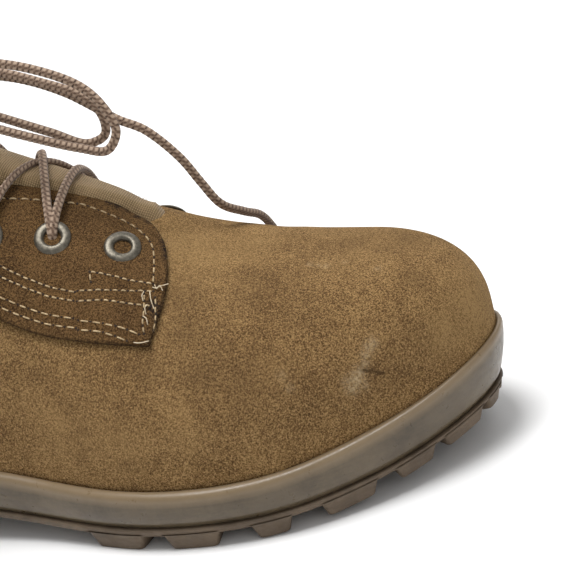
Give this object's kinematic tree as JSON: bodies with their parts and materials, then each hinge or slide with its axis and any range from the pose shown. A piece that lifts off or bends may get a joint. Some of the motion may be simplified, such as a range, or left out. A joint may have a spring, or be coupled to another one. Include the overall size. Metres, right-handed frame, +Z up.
{
  "type": "combat boot",
  "caption": "Right lace-up combat boot in rough-out suede and woven nylon, with flanged eyelets, a moulded midsole and a lugged rubber outsole.",
  "frame": {"origin": "on the floor, under the middle of the boot's bounding box without its lace ends", "axes": "+X towards the toe, +Y towards the inner (medial) side, +Z up"},
  "size_m": [0.305, 0.1084, 0.246],
  "materials": {
    "rubber": "matte brown moulded rubber",
    "midsole": "smooth taupe moulded polyurethane with a slight sheen",
    "insole": "brushed fabric over foam",
    "suede": "sand-brown rough-out suede",
    "nylon": "tan woven nylon",
    "eyelet": "satin grey metal",
    "lace": "brown herringbone braid"
  },
  "bodies": {
    "root": {"outsole": "rubber", "midsole": "midsole", "insole": "insole", "upper": "suede", "tongue": "nylon", "eyestay_lateral": "suede", "eyestay_medial": "suede", "heel_counter": "suede", "collar": "nylon", "eyelet_lateral_1": "eyelet", "eyelet_lateral_2": "eyelet", "eyelet_lateral_3": "eyelet", "eyelet_lateral_4": "eyelet", "eyelet_lateral_5": "eyelet", "eyelet_lateral_6": "eyelet", "eyelet_lateral_7": "eyelet", "eyelet_lateral_8": "eyelet", "eyelet_medial_1": "eyelet", "eyelet_medial_2": "eyelet", "eyelet_medial_3": "eyelet", "eyelet_medial_4": "eyelet", "eyelet_medial_5": "eyelet", "eyelet_medial_6": "eyelet", "eyelet_medial_7": "eyelet", "eyelet_medial_8": "eyelet", "lace": "lace", "lace_knot": "lace", "lace_loop_outer": "lace", "lace_loop_inner": "lace", "lace_end_lateral": "lace", "lace_end_medial": "lace"}
  },
  "joints": []
}
